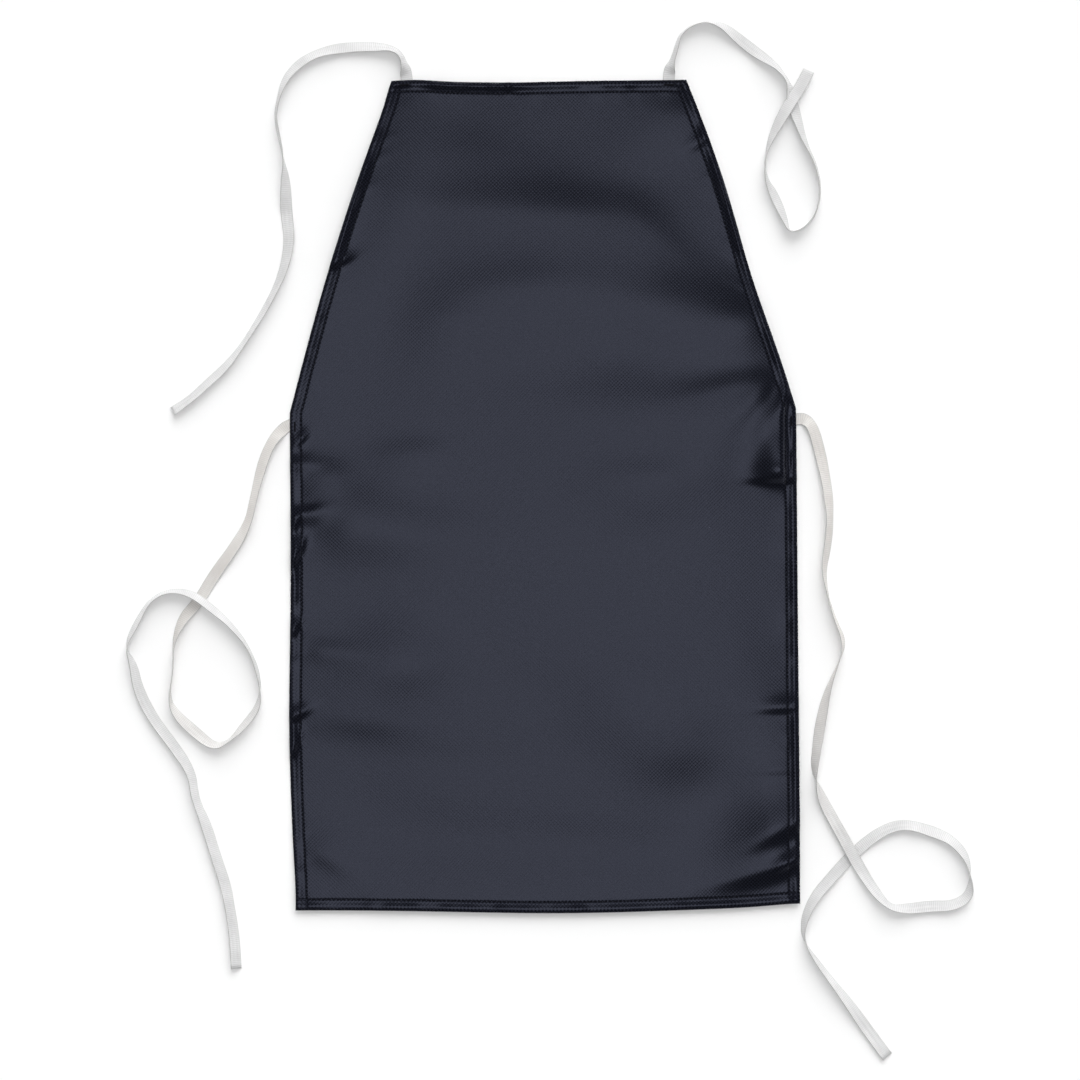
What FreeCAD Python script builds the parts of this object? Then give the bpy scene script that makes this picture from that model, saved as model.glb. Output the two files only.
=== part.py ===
"""Artist smock apron, laid flat: one cloth panel with six turned hems, sewn with six seams, and four tape ties.

The frame is in millimetres. +Z is up, out of the apron's front, +Y runs from the skirt's bottom to the bib's
top, and the origin is the middle of the apron on the surface that it lies on. Left and right are as seen
from the front. The waist corner is where the straight side meets the bib's curved side.
"""

import FreeCAD, Part
import math
import os
import Sketcher

# Driving dimensions, in millimetres. Each becomes a named cell of the sheet.
SIZES = {
    "apron_width": 405,  # across the skirt
    "apron_height": 661,  # from the skirt's bottom to the bib's top
    "skirt_height": 398,  # from the bottom to the waist corners
    "bib_top_width": 234,
    "bib_bow": 4.5,  # how far each bib side curves out from its chord
    "cloth_thickness": 0.4,
    "hem_width": 10,  # how far the cloth is turned to the back
    "fold_bevel": 0.3,
    "seam_inset": 8.8,  # from the finished edge to the line of stitches
    "thread_width": 0.5,
    "thread_height": 0.25,
    "tape_width": 9.5,
    "tape_thickness": 0.6,
    "slit_width": 16,  # where a tie leaves its hem
    "tack_length": 8,
    "tack_width": 1.6,
    "tack_inset": 4,  # from the finished edge to the middle of a tack
}

# A tie's route: x, y, lean in degrees, and lift in millimetres. A tape that leans stands on one of its edges, so
# its middle is higher the more it leans. Lift is what it lies on: its own hem at the root, and a strand at a crossing.
LEFT_NECK = [
    (-106, 324, 0, 0.4), (-107, 332, 0, 0.4), (-108, 344, 57, 0), (-111, 353, 70, 0), (-119, 358, 60, 0),
    (-132, 359, 30, 0), (-150, 359, 20, 0), (-168, 357, 33, 0), (-183, 352, 41, 0), (-195, 344, 41, 0),
    (-204, 333, 48, 0), (-209, 319, 60, 0), (-212, 304, 75, 0), (-209, 288, 68, 0), (-205, 269, 58, 0),
    (-204, 249, 20, 0), (-204, 228, 0, 0), (-201, 205, 46, 0), (-206, 181, 54, 0), (-215, 161, 60, 0),
    (-226, 142, 60, 0), (-239, 122, 75, 0), (-252, 105, 45, 0), (-269, 90, 48, 0), (-282, 78, 48, 0),
    (-296, 69, 48, 0),
]
RIGHT_NECK = [
    (103, 324, 0, 0.4), (103, 332, 0, 0.4), (105, 343, 57, 0), (109, 355, 75, 0), (112, 366, 78, 0),
    (120, 373, 75, 0), (132, 377, 75, 0), (146, 374, 60, 0), (159, 363, 10, 0), (174, 351, 18, 0),
    (189, 341, 50, 0), (199, 328, 70, 0), (201, 313, 25, 0), (206, 296, 41, 0), (211, 280, 64, 0),
    (220, 262, 78, 0), (224, 242, 78, 0), (220, 223, 78, 0), (211, 211, 78, 0), (198, 207, 74, 0),
    (194, 220, 41, 0), (187, 236, 5, 0), (179, 252, 55, 0), (180, 270, 76, 0), (185, 285, 30, 0),
    (193, 300, 8, 4.2), (202, 315, 4, 4.4), (209, 325, 12, 3), (215, 337, 25, 1.5),
]
LEFT_WAIST = [
    (-195, 60, 0, 0.4), (-204, 56, 0, 0.4), (-210, 53, 65, 0), (-217, 47, 65, 0), (-222, 35, 42, 0),
    (-226, 18, 33, 0), (-232, -2, 50, 0), (-236, -20, 40, 0), (-246, -38, 20, 0), (-264, -62, 0, 0),
    (-277, -84, 0, 0), (-289, -96, 50, 0), (-297, -115, 80, 0), (-297, -138, 78, 0), (-301, -161, 75, 0),
    (-295, -174, 45, 0), (-280, -188, 10, 0), (-265, -200, 50, 0), (-253, -195, 78, 0), (-240, -182, 50, 0),
    (-228, -166, 30, 0), (-228, -145, 60, 0), (-236, -121, 75, 0), (-251, -102, 45, 0), (-267, -88, 58, 0.7),
    (-283, -76, 62, 0.7), (-301, -74, 75, 0), (-316, -82, 68, 0), (-325, -98, 46, 0), (-336, -119, 66, 0),
    (-329, -133, 40, 0), (-326, -152, 0, 0), (-315, -175, 0, 0), (-297, -199, 8, 0), (-283, -220, 45, 0),
    (-281, -240, 50, 0), (-272, -262, 30, 0), (-264, -289, 5, 0), (-257, -310, 0, 0), (-253, -332, 0, 0),
    (-250, -354, 25, 0), (-249, -377, 45, 0),
]
RIGHT_WAIST = [
    (196, 55, 0, 0.4), (204, 57, 0, 0.4), (211, 56, 48, 0), (216, 49, 48, 0), (220, 37, 24, 0),
    (224, 19, 15, 0), (227, 2, 10, 0), (229, -20, 45, 0), (227, -42, 65, 0), (223, -62, 68, 0),
    (226, -82, 80, 0), (232, -102, 68, 0), (240, -121, 50, 0), (234, -138, 48, 0), (226, -157, 33, 0),
    (221, -178, 0, 0), (217, -202, 35, 0), (214, -224, 46, 0), (219, -242, 33, 0), (227, -258, 0, 0),
    (238, -278, 0, 0.9), (249, -299, 0, 0.9), (262, -320, 25, 0), (274, -333, 66, 0), (289, -334, 20, 0),
    (306, -332, 0, 0), (324, -332, 15, 0), (337, -325, 40, 0), (339, -311, 50, 0), (336, -293, 73, 0),
    (324, -279, 65, 0), (308, -272, 25, 0), (288, -266, 15, 0), (273, -269, 62, 0), (257, -279, 40, 0),
    (242, -293, 0, 0), (227, -309, 0, 0), (213, -325, 35, 0), (205, -342, 60, 0), (204, -358, 60, 0),
    (215, -375, 56, 0), (226, -390, 48, 0), (242, -411, 0, 0), (257, -433, 0, 0), (271, -452, 40, 0),
]
TIE_ROUTES = {
    "left_neck_tie": LEFT_NECK,
    "right_neck_tie": RIGHT_NECK,
    "left_waist_tie": LEFT_WAIST,
    "right_waist_tie": RIGHT_WAIST,
}
ARC_SHARE = 0.45  # of the shorter run, on each side of a corner of a route
ARC_STEPS = 4  # sections of a tape along each of its arcs

SIDES = {"left": -1, "right": 1}
TOLERANCE = 1e-6

# Layout of the outline, as expressions over the sheet. The outline is symmetric about the Y axis.
HALF_WIDTH = "Sizes.apron_width / 2"
HALF_HEIGHT = "Sizes.apron_height / 2"
BIB_HEIGHT = "(Sizes.apron_height - Sizes.skirt_height)"
BIB_TAPER = "((Sizes.apron_width - Sizes.bib_top_width) / 2)"
BIB_CHORD = f"sqrt({BIB_TAPER} ^ 2 + {BIB_HEIGHT} ^ 2)"
BIB_RADIUS = f"({BIB_CHORD} ^ 2 / (8 * Sizes.bib_bow) + Sizes.bib_bow / 2)"
BIB_REACH = f"({BIB_RADIUS} - Sizes.bib_bow)"  # from the middle of the chord to the centre of the curve
BIB_CENTRE_X = (
    f"((Sizes.apron_width + Sizes.bib_top_width) / 4 - {BIB_REACH} * {BIB_HEIGHT} / {BIB_CHORD})"
)
BIB_CENTRE_Y = f"(Sizes.skirt_height / 2 - {BIB_REACH} * {BIB_TAPER} / {BIB_CHORD})"
PANEL_BASE = "Sizes.cloth_thickness + Sizes.tape_thickness"
PANEL_TOP = f"{PANEL_BASE} + Sizes.cloth_thickness"


def corner(place, side, inset):
    """The x and y, as expressions, of a corner of the outline moved in from every edge by inset."""
    x_side = f"({HALF_WIDTH} - {inset})"
    y_bottom = f"({inset} - {HALF_HEIGHT})"
    y_top = f"({HALF_HEIGHT} - {inset})"
    radius = f"({BIB_RADIUS} - {inset})"
    if place == "bottom":
        return f"{side} * {x_side}", y_bottom
    if place == "waist":
        return f"{side} * {x_side}", f"{BIB_CENTRE_Y} + sqrt({radius} ^ 2 - ({x_side} - {BIB_CENTRE_X}) ^ 2)"
    return f"{side} * ({BIB_CENTRE_X} + sqrt({radius} ^ 2 - ({y_top} - {BIB_CENTRE_Y}) ^ 2))", y_top


def curve(side, inset):
    """The centre and radius, as expressions, of a bib side moved in by inset."""
    return f"{side} * {BIB_CENTRE_X}", BIB_CENTRE_Y, f"{BIB_RADIUS} - {inset}"


# Each edge of the outline: its two corners, and the side that it curves to, or 0 for a straight edge.
EDGES = {
    "top": (("top", -1), ("top", 1), 0),
    "bottom": (("bottom", -1), ("bottom", 1), 0),
    "left_side": (("bottom", -1), ("waist", -1), 0),
    "right_side": (("bottom", 1), ("waist", 1), 0),
    "left_bib": (("waist", -1), ("top", -1), -1),
    "right_bib": (("waist", 1), ("top", 1), 1),
}
# Where each tie leaves its hem.
TIE_HEMS = {
    "top": ("left_neck_tie", "right_neck_tie"),
    "left_side": ("left_waist_tie",),
    "right_side": ("right_waist_tie",),
}


def value(expression):
    return float(sizes.evalExpression(expression))


def new_body(name):
    body = doc.addObject("PartDesign::Body", name)
    body.Label = name
    return body


def closed_sketch(body, name, corners, curves, height):
    """A closed outline at a height above XY. Corners are pairs of expressions, and curves maps the number
    of an edge to its centre and radius."""
    sketch = body.newObject("Sketcher::SketchObject", name)
    ground = next(plane for plane in body.Origin.OriginFeatures if plane.Role == "XY_Plane")
    sketch.AttachmentSupport = (ground, "")
    sketch.MapMode = "FlatFace"
    sketch.setExpression("AttachmentOffset.Base.z", height)
    points = [FreeCAD.Vector(value(x), value(y), 0) for x, y in corners]
    ends = []
    for index, start in enumerate(points):
        end = points[(index + 1) % len(points)]
        if index in curves:
            x, y, radius = curves[index]
            centre = FreeCAD.Vector(value(x), value(y), 0)
            angles = [math.atan2(point.y - centre.y, point.x - centre.x) for point in (start, end)]
            angles = [angle % (2 * math.pi) for angle in angles]
            circle = Part.Circle(centre, FreeCAD.Vector(0, 0, 1), value(radius))
            edge = sketch.addGeometry(Part.ArcOfCircle(circle, min(angles), max(angles)), False)
            ends.append((edge, 1, 2) if angles[0] < angles[1] else (edge, 2, 1))
        else:
            edge = sketch.addGeometry(Part.LineSegment(start, end), False)
            ends.append((edge, 1, 2))
    for index, (edge, first, last) in enumerate(ends):
        following, following_first, _ = ends[(index + 1) % len(ends)]
        sketch.addConstraint(Sketcher.Constraint("Coincident", edge, last, following, following_first))
    for index, (edge, first, last) in enumerate(ends):
        for kind, expression in zip(("DistanceX", "DistanceY"), corners[index]):
            name = f"corner_{index}_{kind[-1].lower()}"
            number = sketch.addConstraint(
                Sketcher.Constraint(kind, -1, 1, edge, first, value(expression))
            )
            sketch.renameConstraint(number, name)
            sketch.setExpression(f"Constraints.{name}", expression)
        if index in curves:
            radius = curves[index][2]
            number = sketch.addConstraint(Sketcher.Constraint("Radius", edge, value(radius)))
            sketch.renameConstraint(number, f"radius_{index}")
            sketch.setExpression(f"Constraints.radius_{index}", radius)
    return sketch


def pad(body, name, sketch, height):
    feature = body.newObject("PartDesign::Pad", name)
    feature.Profile = sketch
    feature.setExpression("Length", height)
    sketch.Visibility = False
    return feature


def strip_sketch(body, name, edge, outer, inner, height):
    """The outline of a strip along one edge of the apron, mitred where it meets the next edges."""
    first, last, side = EDGES[edge]
    corners = [corner(*first, outer), corner(*last, outer), corner(*last, inner), corner(*first, inner)]
    curves = {0: curve(side, outer), 2: curve(side, inner)} if side else {}
    return closed_sketch(body, name, corners, curves, height)


def panel_sketch(body, name, height):
    """The outline of the cloth between the folds of the hems."""
    inset = "Sizes.cloth_thickness"
    ring = [("bottom", -1), ("bottom", 1), ("waist", 1), ("top", 1), ("top", -1), ("waist", -1)]
    corners = [corner(place, side, inset) for place, side in ring]
    curves = {2: curve(1, inset), 4: curve(-1, inset)}
    return closed_sketch(body, name, corners, curves, height)


def make_panel():
    """The cloth between the folds of the hems."""
    body = new_body("panel")
    pad(body, "panel_cloth", panel_sketch(body, "panel_outline", PANEL_BASE), "Sizes.cloth_thickness")
    return body


def fold_edges(block, edge):
    """The names of the two long outer edges of a hem's fold."""
    first, last, _ = EDGES[edge]
    outer = [[value(x) for x in corner(*end, "0")] for end in (first, last)]
    found = []
    for number, line in enumerate(block.Shape.Edges, start=1):
        ends = [(vertex.X, vertex.Y) for vertex in line.Vertexes]
        on_outline = all(any(math.dist(end, place) < TOLERANCE for place in outer) for end in ends)
        if on_outline and math.dist(*ends) > TOLERANCE:
            found.append(f"Edge{number}")
    return found


def pocket(body, name, sketch, depth):
    """Cut the sketch's outline down by a depth, and stop if that took nothing away."""
    doc.recompute()
    before = body.Shape.Volume
    feature = body.newObject("PartDesign::Pocket", name)
    feature.Profile = sketch
    feature.setExpression("Length", depth)
    sketch.Visibility = False
    doc.recompute()
    if body.Shape.Volume > before - TOLERANCE:
        raise SystemExit(f"{name} cuts nothing")


def cut_slit(body, tie, edge):
    """A slit in the fold, as thick as the tape, where a tie leaves its hem."""
    x, y, _, _ = TIE_ROUTES[tie][1]
    if edge == "top":
        middle = (str(x), HALF_HEIGHT)
        reach = ("Sizes.slit_width / 2", "2 * Sizes.cloth_thickness")
    else:
        middle = (f"{SIDES[tie.split('_')[0]]} * {HALF_WIDTH}", str(y))
        reach = ("2 * Sizes.cloth_thickness", "Sizes.slit_width / 2")
    corners = [
        (f"{middle[0]} {x_sign} {reach[0]}", f"{middle[1]} {y_sign} {reach[1]}")
        for x_sign, y_sign in ("--", "+-", "++", "-+")
    ]
    sketch = closed_sketch(body, f"{tie}_slit_outline", corners, {}, PANEL_BASE)
    pocket(body, f"{tie}_slit", sketch, "Sizes.tape_thickness")


def make_hem(edge):
    """Cloth turned to the back along one edge: a flat layer, and the bevelled fold that joins it to the panel."""
    body = new_body(f"{edge}_hem")
    strip = strip_sketch(body, f"{edge}_strip", edge, "0", "Sizes.hem_width", "0")
    block = pad(body, f"{edge}_block", strip, PANEL_TOP)
    doc.recompute()
    bevel = body.newObject("PartDesign::Chamfer", f"{edge}_fold_bevel")
    bevel.Base = (block, fold_edges(block, edge))
    bevel.setExpression("Size", "Sizes.fold_bevel")
    inside = panel_sketch(body, f"{edge}_inside", PANEL_TOP)
    pocket(body, f"{edge}_turning", inside, "Sizes.tape_thickness + Sizes.cloth_thickness")
    for tie in TIE_HEMS.get(edge, ()):
        cut_slit(body, tie, edge)
    return body


def make_seam(edge):
    """The line of stitches that holds one hem, on the panel's front face."""
    body = new_body(f"{edge}_seam")
    outer = "(Sizes.seam_inset - Sizes.thread_width / 2)"
    inner = "(Sizes.seam_inset + Sizes.thread_width / 2)"
    sketch = strip_sketch(body, f"{edge}_seam_outline", edge, outer, inner, PANEL_TOP)
    pad(body, f"{edge}_thread", sketch, "Sizes.thread_height")
    return body


def make_tack(tie):
    """The bar of close stitches through the panel that holds the end of a tie."""
    tack = doc.addObject("Part::Box", tie.replace("_tie", "_tack"))
    tack.Label = tie.replace("_tie", "_tack")
    x, y, _, _ = TIE_ROUTES[tie][1]
    tack.setExpression("Height", "Sizes.thread_height")
    tack.setExpression("Placement.Base.z", PANEL_TOP)
    if tie.endswith("neck_tie"):
        length, width = "Sizes.tack_length", "Sizes.tack_width"
        middle = (str(x), f"{HALF_HEIGHT} - Sizes.tack_inset")
    else:
        length, width = "Sizes.tack_width", "Sizes.tack_length"
        middle = (f"{SIDES[tie.split('_')[0]]} * ({HALF_WIDTH} - Sizes.tack_inset)", str(y))
    tack.setExpression("Length", length)
    tack.setExpression("Width", width)
    tack.setExpression("Placement.Base.x", f"{middle[0]} - {length} / 2")
    tack.setExpression("Placement.Base.y", f"{middle[1]} - {width} / 2")
    return tack


def tie_points(route, half_width, half_thickness):
    """The middle of the tape at each point of a route."""
    return [
        FreeCAD.Vector(x, y, half_width * math.sin(math.radians(lean)) + half_thickness + lift)
        for x, y, lean, lift in route
    ]


def round_corners(points):
    """The route as straight runs joined by tangent arcs: its edges, and each arc's radius."""
    edges = []
    radii = []
    start = points[0]
    for before, point, after in zip(points, points[1:], points[2:]):
        back = before - point
        ahead = after - point
        reach = ARC_SHARE * min(back.Length, ahead.Length)
        half_turn = (math.pi - back.getAngle(ahead)) / 2
        back.normalize()
        ahead.normalize()
        radius = reach / math.tan(half_turn)
        towards_centre = (back + ahead).normalize()
        centre = point + towards_centre * (radius / math.cos(half_turn))
        middle = centre - towards_centre * radius
        enter = point + back * reach
        leave = point + ahead * reach
        edges.append(Part.LineSegment(start, enter).toShape())
        edges.append(Part.Arc(enter, middle, leave).toShape())
        radii.append(radius)
        start = leave
    edges.append(Part.LineSegment(start, points[-1]).toShape())
    return edges, radii


def tape_section(place, along, lift, half_width, half_thickness):
    """The tape's cross-section where its middle is at place. Its lean follows from its height."""
    rise = max(0.0, min(1.0, (place.z - half_thickness - lift) / half_width))
    across = FreeCAD.Vector(-along.y, along.x, 0).normalize()
    up = along.cross(across)
    flat = math.sqrt(1 - rise * rise)
    wide = (across * flat + up * rise) * half_width
    thick = (up * flat - across * rise) * half_thickness
    corners = [place + wide + thick, place - wide + thick, place - wide - thick, place + wide - thick]
    return Part.makePolygon(corners + corners[:1])


def make_tie(name, route):
    """A tape along its route, as one ruled solid through its cross-sections."""
    half_width = value("Sizes.tape_width / 2")
    half_thickness = value("Sizes.tape_thickness / 2")
    edges, radii = round_corners(tie_points(route, half_width, half_thickness))
    lifts = [lift for _, _, _, lift in route]
    sections = []
    for number, edge in enumerate(edges):
        low, high = edge.ParameterRange
        passed = number // 2
        is_arc = number % 2 == 1
        steps = ARC_STEPS if is_arc else 1
        first_step = 0 if number == 0 else 1
        for step in range(first_step, steps + 1):
            share = step / steps
            parameter = low + (high - low) * share
            # A run's lift goes from its first point's to its second's, and an arc has its own point's.
            lift = lifts[passed + 1] if is_arc else lifts[passed] * (1 - share) + lifts[passed + 1] * share
            place = edge.valueAt(parameter)
            along = edge.tangentAt(parameter)
            sections.append(tape_section(place, along, lift, half_width, half_thickness))
    tie = doc.addObject("Part::Feature", name)
    tie.Label = name
    tie.Shape = Part.makeLoft(sections, True, True)
    tie.Placement = FreeCAD.Placement()
    length = sum(edge.Length for edge in edges)
    expected = length * value("Sizes.tape_width * Sizes.tape_thickness")
    print(
        f"{name}: {length:.0f} mm, smallest radius {min(radii):.1f} mm, "
        f"volume {tie.Shape.Volume:.0f} against {expected:.0f} mm3, lowest z {tie.Shape.BoundBox.ZMin:.3f}"
    )
    print(f"  radii: {', '.join(f'{radius:.0f}' for radius in radii)}")
    return tie


doc = FreeCAD.newDocument("artist_smock_apron")
sizes = doc.addObject("Spreadsheet::Sheet", "Sizes")
for row, (alias, size) in enumerate(SIZES.items(), start=1):
    sizes.set(f"A{row}", alias)
    sizes.set(f"B{row}", str(size))
    sizes.setAlias(f"B{row}", alias)
doc.recompute()

parts = [make_panel()]
parts += [make_hem(edge) for edge in EDGES]
parts += [make_seam(edge) for edge in EDGES]
parts += [make_tie(name, route) for name, route in TIE_ROUTES.items()]
parts += [make_tack(tie) for tie in TIE_ROUTES]
doc.recompute()

for item in doc.Objects:
    if "Invalid" in item.State or "Error" in item.State:
        raise SystemExit(f"{item.Label} failed: {item.State}")
for part in parts:
    if part.Shape.isNull() or not part.Shape.isValid():
        raise SystemExit(f"{part.Label} has no valid shape")

os.makedirs("parts", exist_ok=True)
for part in parts:
    part.Shape.exportStep(f"parts/{part.Label}.step")
    box = part.Shape.BoundBox
    print(f"{part.Label}: {part.Shape.Volume:.1f} mm3, z {box.ZMin:.2f} to {box.ZMax:.2f}")
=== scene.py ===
"""Artist smock apron laid flat on a pale floor, front up, seen from straight above.

Everything is in metres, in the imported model's frame: +Z comes out of the apron's front, +Y runs from the
skirt's bottom to the bib's top, and z = 0 is the surface that the apron lies on.
"""

import math

import bpy
import numpy as np
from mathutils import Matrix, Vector


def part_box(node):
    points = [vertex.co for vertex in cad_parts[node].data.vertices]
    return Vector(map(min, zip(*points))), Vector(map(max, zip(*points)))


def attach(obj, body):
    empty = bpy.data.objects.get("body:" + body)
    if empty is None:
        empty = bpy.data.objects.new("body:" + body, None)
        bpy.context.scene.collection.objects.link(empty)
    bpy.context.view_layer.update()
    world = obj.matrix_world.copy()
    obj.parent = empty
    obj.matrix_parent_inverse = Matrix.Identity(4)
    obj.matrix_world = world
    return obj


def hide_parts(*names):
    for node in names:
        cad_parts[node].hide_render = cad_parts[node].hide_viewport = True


MM = 0.001

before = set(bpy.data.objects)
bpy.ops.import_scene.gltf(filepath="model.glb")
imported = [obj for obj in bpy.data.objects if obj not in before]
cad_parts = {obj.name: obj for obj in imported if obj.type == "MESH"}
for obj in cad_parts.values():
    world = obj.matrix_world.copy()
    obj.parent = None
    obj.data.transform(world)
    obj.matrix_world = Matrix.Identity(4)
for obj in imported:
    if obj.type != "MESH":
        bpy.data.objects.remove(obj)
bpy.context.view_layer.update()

# Sizes that come from the CAD model.
SIDE_LOW, SIDE_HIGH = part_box("right_side_hem")
TOP_LOW, TOP_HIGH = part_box("top_hem")
_, PANEL_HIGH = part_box("panel")
BOTTOM = SIDE_LOW.y
WAIST = SIDE_HIGH.y
TOP = TOP_HIGH.y
HALF_WIDTH = SIDE_HIGH.x
HALF_TOP = TOP_HIGH.x
HEM_WIDTH = TOP_HIGH.y - TOP_LOW.y
EDGE_HEIGHT = PANEL_HIGH.z

# Sizes that the CAD model has and its boxes don't show.
BIB_BOW = 4.5 * MM
SEAM_INSET = 8.8 * MM
TAPE_HALF_WIDTH = 4.75 * MM
TAPE_HALF_THICKNESS = 0.3 * MM

# How a tape bends out of flat: how far, and over about what length of tape.
TAPE_SWAY = math.radians(5)
TAPE_SWAY_LENGTH = 16 * MM
TAPE_CUP = 0.5 * MM
TAPE_CUP_LENGTH = 22 * MM
TAPE_CREASE = 0.3 * MM
TAPE_CREASE_LENGTH = 35 * MM

# The cloth: its thickness, its front face's height where it lies flat, how far its edges stay below the top
# of the CAD panel, and the height and size of its slow unevenness.
CLOTH = 0.35 * MM
FLAT_HEIGHT = 0.55 * MM
EDGE_SLACK = 0.1 * MM
UNEVEN_HEIGHT = 0.5 * MM
UNEVEN_LENGTH = 75 * MM
UNEVEN_WIDTH = 40 * MM

# The dip of the cloth at its stitches, and the rounded ridge of the hem outside them.
SEAM_DIP = 0.25 * MM
SEAM_DIP_REACH = 0.5 * MM
RIDGE_INSET = 3.2 * MM
RIDGE_REACH = 2.7 * MM

# The curve of the bib's sides: an arc through the waist corner and the top corner.
BIB_CHORD = math.hypot(HALF_WIDTH - HALF_TOP, TOP - WAIST)
BIB_RADIUS = BIB_CHORD**2 / (8 * BIB_BOW) + BIB_BOW / 2
BIB_REACH = BIB_RADIUS - BIB_BOW
BIB_CENTRE_X = (HALF_WIDTH + HALF_TOP) / 2 - BIB_REACH * (TOP - WAIST) / BIB_CHORD
BIB_CENTRE_Y = (WAIST + TOP) / 2 - BIB_REACH * (HALF_WIDTH - HALF_TOP) / BIB_CHORD

# The ties' routes: x, y, lean in degrees, and lift, with x and y close to the CAD model's routes. The tape
# lies flat at 0 and 180 degrees, and stands on an edge at 90 and -90. Its left edge is the high one from 0 to
# 90, and its right one from 90 to 180.
LEFT_NECK = [
    (-0.106, 0.324, 0, 0.0004), (-0.1065, 0.332, 0, 0.0003), (-0.107, 0.337, 0, 0), (-0.108, 0.344, 60, 0),
    (-0.111, 0.353, 70, 0), (-0.119, 0.358, 60, 0), (-0.132, 0.359, 32, 0), (-0.150, 0.359, 22, 0),
    (-0.168, 0.357, 34, 0), (-0.183, 0.352, 42, 0), (-0.195, 0.344, 42, 0), (-0.204, 0.333, 50, 0),
    (-0.209, 0.319, 70, 0), (-0.212, 0.304, 80, 0), (-0.209, 0.288, 76, 0), (-0.205, 0.269, 88, 0),
    (-0.204, 0.249, 150, 0), (-0.204, 0.228, 178, 0), (-0.201, 0.205, 205, 0), (-0.206, 0.181, 226, 0),
    (-0.215, 0.161, 232, 0), (-0.226, 0.142, 236, 0), (-0.239, 0.122, 250, 0), (-0.252, 0.105, 230, 0),
    (-0.269, 0.090, 224, 0), (-0.282, 0.078, 224, 0), (-0.296, 0.069, 222, 0),
]
RIGHT_NECK = [
    (0.103, 0.324, 0, 0.0004), (0.103, 0.332, 0, 0.0003), (0.1035, 0.337, 0, 0), (0.105, 0.343, -66, 0),
    (0.109, 0.355, -74, 0), (0.112, 0.366, -80, 0), (0.120, 0.373, -80, 0), (0.132, 0.377, -82, 0),
    (0.146, 0.374, -62, 0), (0.159, 0.363, -15, 0), (0.174, 0.351, -22, 0), (0.189, 0.341, -58, 0),
    (0.199, 0.328, -78, 0), (0.201, 0.313, -12, 0), (0.206, 0.296, -45, 0), (0.211, 0.280, -66, 0),
    (0.220, 0.262, -80, 0), (0.224, 0.242, -82, 0), (0.220, 0.223, -84, 0), (0.211, 0.211, -90, 0),
    (0.198, 0.207, -100, 0), (0.194, 0.220, -128, 0), (0.187, 0.236, -145, 0), (0.179, 0.252, -105, 0),
    (0.180, 0.270, -88, 0), (0.185, 0.285, -50, 0), (0.193, 0.300, -25, 0.0042),
    (0.202, 0.315, -6, 0.0044), (0.209, 0.325, -4, 0.003), (0.215, 0.337, -12, 0.0015),
]
LEFT_WAIST = [
    (-0.194, 0.060, 0, 0.0004), (-0.204, 0.057, 0, 0.0003), (-0.2085, 0.0535, 0, 0), (-0.213, 0.049, 24, 0),
    (-0.218, 0.042, 36, 0), (-0.223, 0.031, 32, 0), (-0.227, 0.018, 33, 0), (-0.232, -0.002, 54, 0),
    (-0.236, -0.020, 50, 0), (-0.246, -0.038, 25, 0), (-0.264, -0.062, 8, 0), (-0.277, -0.084, 0, 0),
    (-0.289, -0.096, 22, 0), (-0.297, -0.115, 80, 0), (-0.297, -0.138, 86, 0), (-0.301, -0.161, 88, 0),
    (-0.295, -0.174, 135, 0), (-0.280, -0.188, 155, 0), (-0.265, -0.200, 125, 0),
    (-0.253, -0.195, 100, 0), (-0.240, -0.182, 128, 0), (-0.228, -0.166, 120, 0), (-0.228, -0.145, 76, 0),
    (-0.236, -0.121, 80, 0), (-0.251, -0.102, 65, 0), (-0.267, -0.088, 50, 0.0016),
    (-0.283, -0.076, 60, 0.0016), (-0.301, -0.074, 76, 0), (-0.316, -0.082, 72, 0),
    (-0.325, -0.098, 58, 0), (-0.336, -0.119, 76, 0), (-0.329, -0.133, 125, 0), (-0.326, -0.152, 145, 0),
    (-0.315, -0.175, 155, 0), (-0.297, -0.199, 150, 0), (-0.283, -0.220, 130, 0),
    (-0.281, -0.240, 126, 0), (-0.272, -0.262, 145, 0), (-0.264, -0.289, 150, 0),
    (-0.257, -0.310, 148, 0), (-0.253, -0.332, 145, 0), (-0.250, -0.354, 145, 0),
    (-0.249, -0.377, 145, 0),
]
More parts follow.
